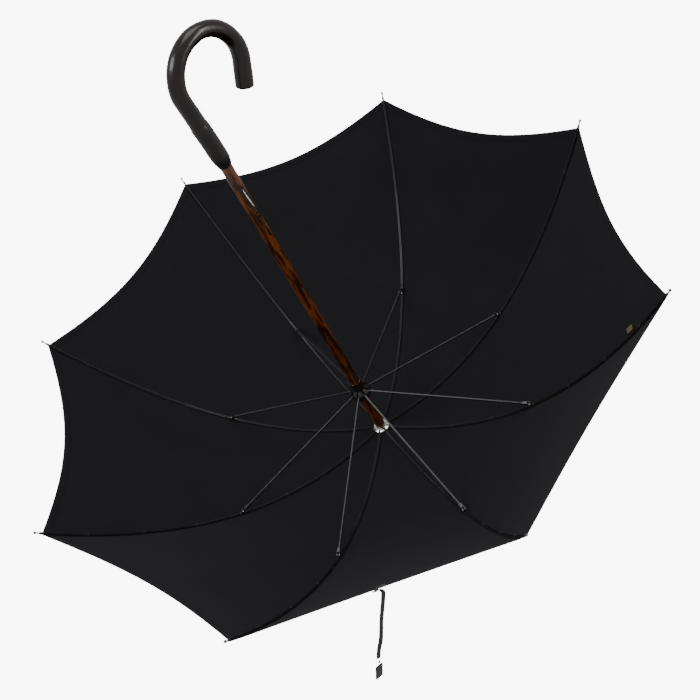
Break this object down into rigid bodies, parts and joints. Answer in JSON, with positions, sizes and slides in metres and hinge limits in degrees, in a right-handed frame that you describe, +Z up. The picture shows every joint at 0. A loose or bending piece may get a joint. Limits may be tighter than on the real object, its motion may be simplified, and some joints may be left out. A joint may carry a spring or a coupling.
{
  "type": "stick umbrella",
  "caption": "Open stick umbrella with a bent wooden crook handle, wooden shaft, sliding runner, hinged curved steel ribs with stretchers, black cloth canopy and a hanging closing strap.",
  "frame": {"origin": "the place where the hand holds the handle, on the shaft axis just above the end of the shaft", "axes": "+Z is up while the umbrella is held upside down and open; the shaft leans 35 degrees from +Z towards -Y; +X runs across the canopy"},
  "size_m": [0.9362, 0.7701, 0.7778],
  "materials": {
    "canopy_cloth": "fine plain weave, matt black",
    "strap_cloth": "narrow woven tape",
    "black_steel": "black lacquer on steel",
    "grey_steel": "drawn steel wire, satin",
    "nickel_plate": "polished nickel plate",
    "shaft_wood": "scorched and varnished, amber to dark brown",
    "handle_wood": "very dark polished wood",
    "runner_plastic": "moulded black",
    "label_cloth": "woven label, blank"
  },
  "bodies": {
    "shaft": {"shaft": "shaft_wood", "stop_pin": "nickel_plate", "handle": "handle_wood", "top_notch": "nickel_plate", "outer_rosette": "black_steel", "ferrule": "black_steel"},
    "runner": {"runner": "runner_plastic", "runner_rim": "nickel_plate"},
    "top_spring": {"top_spring": "nickel_plate"},
    "hand_spring": {"hand_spring": "nickel_plate"},
    "rib_1": {"rib_1": "black_steel", "tip_1": "nickel_plate"},
    "rib_2": {"rib_2": "black_steel", "tip_2": "nickel_plate"},
    "rib_3": {"rib_3": "black_steel", "tip_3": "nickel_plate"},
    "rib_4": {"rib_4": "black_steel", "tip_4": "nickel_plate"},
    "rib_5": {"rib_5": "black_steel", "tip_5": "nickel_plate"},
    "rib_6": {"rib_6": "black_steel", "tip_6": "nickel_plate"},
    "rib_7": {"rib_7": "black_steel", "tip_7": "nickel_plate"},
    "rib_8": {"rib_8": "black_steel", "tip_8": "nickel_plate"},
    "stretcher_1": {"stretcher_1": "grey_steel"},
    "stretcher_2": {"stretcher_2": "grey_steel"},
    "stretcher_3": {"stretcher_3": "grey_steel"},
    "stretcher_4": {"stretcher_4": "grey_steel"},
    "stretcher_5": {"stretcher_5": "grey_steel"},
    "stretcher_6": {"stretcher_6": "grey_steel"},
    "stretcher_7": {"stretcher_7": "grey_steel"},
    "stretcher_8": {"stretcher_8": "grey_steel"},
    "panel_1a": {"panel_1a": "canopy_cloth"},
    "panel_1b": {"panel_1b": "canopy_cloth"},
    "panel_2a": {"panel_2a": "canopy_cloth"},
    "panel_2b": {"panel_2b": "canopy_cloth"},
    "panel_3a": {"panel_3a": "canopy_cloth"},
    "panel_3b": {"panel_3b": "canopy_cloth", "label": "label_cloth"},
    "panel_4a": {"panel_4a": "canopy_cloth"},
    "panel_4b": {"panel_4b": "canopy_cloth"},
    "panel_5a": {"panel_5a": "canopy_cloth", "strap_anchor": "strap_cloth", "strap": "strap_cloth", "strap_ring": "nickel_plate", "strap_tab": "strap_cloth"},
    "panel_5b": {"panel_5b": "canopy_cloth"},
    "panel_6a": {"panel_6a": "canopy_cloth"},
    "panel_6b": {"panel_6b": "canopy_cloth"},
    "panel_7a": {"panel_7a": "canopy_cloth"},
    "panel_7b": {"panel_7b": "canopy_cloth"},
    "panel_8a": {"panel_8a": "canopy_cloth"},
    "panel_8b": {"panel_8b": "canopy_cloth"}
  },
  "joints": [
    {"name": "runner_slide", "type": "slide", "parent": "shaft", "child": "runner", "axis": [0, -0.5736, 0.8192], "range_m": [0, 0.3814]},
    {"name": "rib_1_hinge", "type": "hinge", "parent": "shaft", "child": "rib_1", "pos_m": [-0.0097, 0.35891, -0.50557], "axis": [0.3827, 0.7568, 0.5299], "range_deg": [0, 60.5]},
    {"name": "rib_2_hinge", "type": "hinge", "parent": "shaft", "child": "rib_2", "pos_m": [-0.00402, 0.36356, -0.50231], "axis": [0.9239, 0.3135, 0.2195], "range_deg": [0, 60.5]},
    {"name": "rib_3_hinge", "type": "hinge", "parent": "shaft", "child": "rib_3", "pos_m": [0.00402, 0.36356, -0.50231], "axis": [0.9239, -0.3135, -0.2195], "range_deg": [0, 60.5]},
    {"name": "rib_4_hinge", "type": "hinge", "parent": "shaft", "child": "rib_4", "pos_m": [0.0097, 0.35891, -0.50557], "axis": [0.3827, -0.7568, -0.5299], "range_deg": [0, 60.5]},
    {"name": "rib_5_hinge", "type": "hinge", "parent": "shaft", "child": "rib_5", "pos_m": [0.0097, 0.35233, -0.51018], "axis": [-0.3827, -0.7568, -0.5299], "range_deg": [0, 60.5]},
    {"name": "rib_6_hinge", "type": "hinge", "parent": "shaft", "child": "rib_6", "pos_m": [0.00402, 0.34767, -0.51344], "axis": [-0.9239, -0.3135, -0.2195], "range_deg": [0, 60.5]},
    {"name": "rib_7_hinge", "type": "hinge", "parent": "shaft", "child": "rib_7", "pos_m": [-0.00402, 0.34767, -0.51344], "axis": [-0.9239, 0.3135, 0.2195], "range_deg": [0, 60.5]},
    {"name": "rib_8_hinge", "type": "hinge", "parent": "shaft", "child": "rib_8", "pos_m": [-0.0097, 0.35233, -0.51018], "axis": [-0.3827, 0.7568, 0.5299], "range_deg": [0, 60.5]},
    {"name": "stretcher_1_pivot", "type": "hinge", "parent": "rib_1", "child": "stretcher_1", "pos_m": [-0.24113, 0.41167, -0.41379], "axis": [0.3827, 0.7568, 0.5299], "range_deg": [-119.25, 0]},
    {"name": "stretcher_2_pivot", "type": "hinge", "parent": "rib_2", "child": "stretcher_2", "pos_m": [-0.09988, 0.52738, -0.33277], "axis": [0.9239, 0.3135, 0.2195], "range_deg": [-119.25, 0]},
    {"name": "stretcher_3_pivot", "type": "hinge", "parent": "rib_3", "child": "stretcher_3", "pos_m": [0.09988, 0.52738, -0.33277], "axis": [0.9239, -0.3135, -0.2195], "range_deg": [-119.25, 0]},
    {"name": "stretcher_4_pivot", "type": "hinge", "parent": "rib_4", "child": "stretcher_4", "pos_m": [0.24113, 0.41167, -0.41379], "axis": [0.3827, -0.7568, -0.5299], "range_deg": [-119.25, 0]},
    {"name": "stretcher_5_pivot", "type": "hinge", "parent": "rib_5", "child": "stretcher_5", "pos_m": [0.24113, 0.24804, -0.52837], "axis": [-0.3827, -0.7568, -0.5299], "range_deg": [-119.25, 0]},
    {"name": "stretcher_6_pivot", "type": "hinge", "parent": "rib_6", "child": "stretcher_6", "pos_m": [0.09988, 0.13233, -0.60939], "axis": [-0.9239, -0.3135, -0.2195], "range_deg": [-119.25, 0]},
    {"name": "stretcher_7_pivot", "type": "hinge", "parent": "rib_7", "child": "stretcher_7", "pos_m": [-0.09988, 0.13233, -0.60939], "axis": [-0.9239, 0.3135, 0.2195], "range_deg": [-119.25, 0]},
    {"name": "stretcher_8_pivot", "type": "hinge", "parent": "rib_8", "child": "stretcher_8", "pos_m": [-0.24113, 0.24804, -0.52837], "axis": [-0.3827, 0.7568, 0.5299], "range_deg": [-119.25, 0]},
    {"name": "panel_1a_fold", "type": "hinge", "parent": "rib_1", "child": "panel_1a", "pos_m": [-0.0089, 0.36049, -0.50446], "axis": [0.5712, -0.8207, -0.0136], "range_deg": [0, 22.3], "deforming": ["panel_1a"]},
    {"name": "panel_1b_fold", "type": "hinge", "parent": "rib_2", "child": "panel_1b", "pos_m": [-0.00595, 0.36291, -0.50277], "axis": [-0.6801, 0.7315, -0.0488], "range_deg": [0, 22.3], "deforming": ["panel_1b"]},
    {"name": "panel_2a_fold", "type": "hinge", "parent": "rib_2", "child": "panel_2a", "pos_m": [-0.00209, 0.36422, -0.50185], "axis": [-0.077, -0.9884, -0.1311], "range_deg": [0, 22.3], "deforming": ["panel_2a"]},
    {"name": "panel_2b_fold", "type": "hinge", "parent": "rib_3", "child": "panel_2b", "pos_m": [0.00209, 0.36422, -0.50185], "axis": [-0.077, 0.9884, 0.1311], "range_deg": [0, 22.3], "deforming": ["panel_2b"]},
    {"name": "panel_3a_fold", "type": "hinge", "parent": "rib_3", "child": "panel_3a", "pos_m": [0.00595, 0.36291, -0.50277], "axis": [-0.6801, -0.7315, 0.0488], "range_deg": [0, 22.3], "deforming": ["panel_3a"]},
    {"name": "panel_3b_fold", "type": "hinge", "parent": "rib_4", "child": "panel_3b", "pos_m": [0.0089, 0.36049, -0.50446], "axis": [0.5712, 0.8207, 0.0136], "range_deg": [0, 22.3], "deforming": ["panel_3b"]},
    {"name": "panel_4a_fold", "type": "hinge", "parent": "rib_4", "child": "panel_4a", "pos_m": [0.0105, 0.35733, -0.50668], "axis": [-0.8848, -0.2005, 0.4206], "range_deg": [0, 22.3], "deforming": ["panel_4a"]},
    {"name": "panel_4b_fold", "type": "hinge", "parent": "rib_5", "child": "panel_4b", "pos_m": [0.0105, 0.35391, -0.50907], "axis": [0.8848, 0.3266, -0.3323], "range_deg": [0, 22.3], "deforming": ["panel_4b"]},
    {"name": "panel_5a_fold", "type": "hinge", "parent": "rib_5", "child": "panel_5a", "pos_m": [0.0089, 0.35075, -0.51129], "axis": [-0.5712, 0.2935, 0.7665], "range_deg": [0, 22.3], "deforming": ["panel_5a"]},
    {"name": "panel_5b_fold", "type": "hinge", "parent": "rib_6", "child": "panel_5b", "pos_m": [0.00595, 0.34833, -0.51298], "axis": [0.6801, -0.2043, -0.7041], "range_deg": [0, 22.3], "deforming": ["panel_5b"]},
    {"name": "panel_6a_fold", "type": "hinge", "parent": "rib_6", "child": "panel_6a", "pos_m": [0.00209, 0.34702, -0.5139], "axis": [0.077, 0.4612, 0.8839], "range_deg": [0, 22.3], "deforming": ["panel_6a"]},
    {"name": "panel_6b_fold", "type": "hinge", "parent": "rib_7", "child": "panel_6b", "pos_m": [-0.00209, 0.34702, -0.5139], "axis": [0.077, -0.4612, -0.8839], "range_deg": [0, 22.3], "deforming": ["panel_6b"]},
    {"name": "panel_7a_fold", "type": "hinge", "parent": "rib_7", "child": "panel_7a", "pos_m": [-0.00595, 0.34833, -0.51298], "axis": [0.6801, 0.2043, 0.7041], "range_deg": [0, 22.3], "deforming": ["panel_7a"]},
    {"name": "panel_7b_fold", "type": "hinge", "parent": "rib_8", "child": "panel_7b", "pos_m": [-0.0089, 0.35075, -0.51129], "axis": [-0.5712, -0.2935, -0.7665], "range_deg": [0, 22.3], "deforming": ["panel_7b"]},
    {"name": "panel_8a_fold", "type": "hinge", "parent": "rib_8", "child": "panel_8a", "pos_m": [-0.0105, 0.35391, -0.50907], "axis": [0.8848, -0.3266, 0.3323], "range_deg": [0, 22.3], "deforming": ["panel_8a"]},
    {"name": "panel_8b_fold", "type": "hinge", "parent": "rib_1", "child": "panel_8b", "pos_m": [-0.0105, 0.35733, -0.50668], "axis": [-0.8848, 0.2005, -0.4206], "range_deg": [0, 22.3], "deforming": ["panel_8b"]},
    {"name": "top_spring_press", "type": "hinge", "parent": "shaft", "child": "top_spring", "pos_m": [0.0033, 0.25926, -0.37026], "axis": [0, -0.8192, -0.5736], "range_deg": [-3.6, 0], "stiffness_Nm_per_rad": 2.4},
    {"name": "hand_spring_press", "type": "hinge", "parent": "shaft", "child": "hand_spring", "pos_m": [0.0034, 0.03958, -0.05652], "axis": [0, -0.8192, -0.5736], "range_deg": [-4.2, 0], "stiffness_Nm_per_rad": 2.5}
  ],
  "couplings": [
    {"joint": "rib_1_hinge", "follows": "runner_slide", "rad_per_m": 2.7685},
    {"joint": "rib_2_hinge", "follows": "runner_slide", "rad_per_m": 2.7685},
    {"joint": "rib_3_hinge", "follows": "runner_slide", "rad_per_m": 2.7685},
    {"joint": "rib_4_hinge", "follows": "runner_slide", "rad_per_m": 2.7685},
    {"joint": "rib_5_hinge", "follows": "runner_slide", "rad_per_m": 2.7685},
    {"joint": "rib_6_hinge", "follows": "runner_slide", "rad_per_m": 2.7685},
    {"joint": "rib_7_hinge", "follows": "runner_slide", "rad_per_m": 2.7685},
    {"joint": "rib_8_hinge", "follows": "runner_slide", "rad_per_m": 2.7685},
    {"joint": "stretcher_1_pivot", "follows": "runner_slide", "rad_per_m": -5.4569},
    {"joint": "stretcher_2_pivot", "follows": "runner_slide", "rad_per_m": -5.4569},
    {"joint": "stretcher_3_pivot", "follows": "runner_slide", "rad_per_m": -5.4569},
    {"joint": "stretcher_4_pivot", "follows": "runner_slide", "rad_per_m": -5.4569},
    {"joint": "stretcher_5_pivot", "follows": "runner_slide", "rad_per_m": -5.4569},
    {"joint": "stretcher_6_pivot", "follows": "runner_slide", "rad_per_m": -5.4569},
    {"joint": "stretcher_7_pivot", "follows": "runner_slide", "rad_per_m": -5.4569},
    {"joint": "stretcher_8_pivot", "follows": "runner_slide", "rad_per_m": -5.4569},
    {"joint": "panel_1a_fold", "follows": "runner_slide", "rad_per_m": 1.0204},
    {"joint": "panel_1b_fold", "follows": "runner_slide", "rad_per_m": 1.0204},
    {"joint": "panel_2a_fold", "follows": "runner_slide", "rad_per_m": 1.0204},
    {"joint": "panel_2b_fold", "follows": "runner_slide", "rad_per_m": 1.0204},
    {"joint": "panel_3a_fold", "follows": "runner_slide", "rad_per_m": 1.0204},
    {"joint": "panel_3b_fold", "follows": "runner_slide", "rad_per_m": 1.0204},
    {"joint": "panel_4a_fold", "follows": "runner_slide", "rad_per_m": 1.0204},
    {"joint": "panel_4b_fold", "follows": "runner_slide", "rad_per_m": 1.0204},
    {"joint": "panel_5a_fold", "follows": "runner_slide", "rad_per_m": 1.0204},
    {"joint": "panel_5b_fold", "follows": "runner_slide", "rad_per_m": 1.0204},
    {"joint": "panel_6a_fold", "follows": "runner_slide", "rad_per_m": 1.0204},
    {"joint": "panel_6b_fold", "follows": "runner_slide", "rad_per_m": 1.0204},
    {"joint": "panel_7a_fold", "follows": "runner_slide", "rad_per_m": 1.0204},
    {"joint": "panel_7b_fold", "follows": "runner_slide", "rad_per_m": 1.0204},
    {"joint": "panel_8a_fold", "follows": "runner_slide", "rad_per_m": 1.0204},
    {"joint": "panel_8b_fold", "follows": "runner_slide", "rad_per_m": 1.0204}
  ]
}
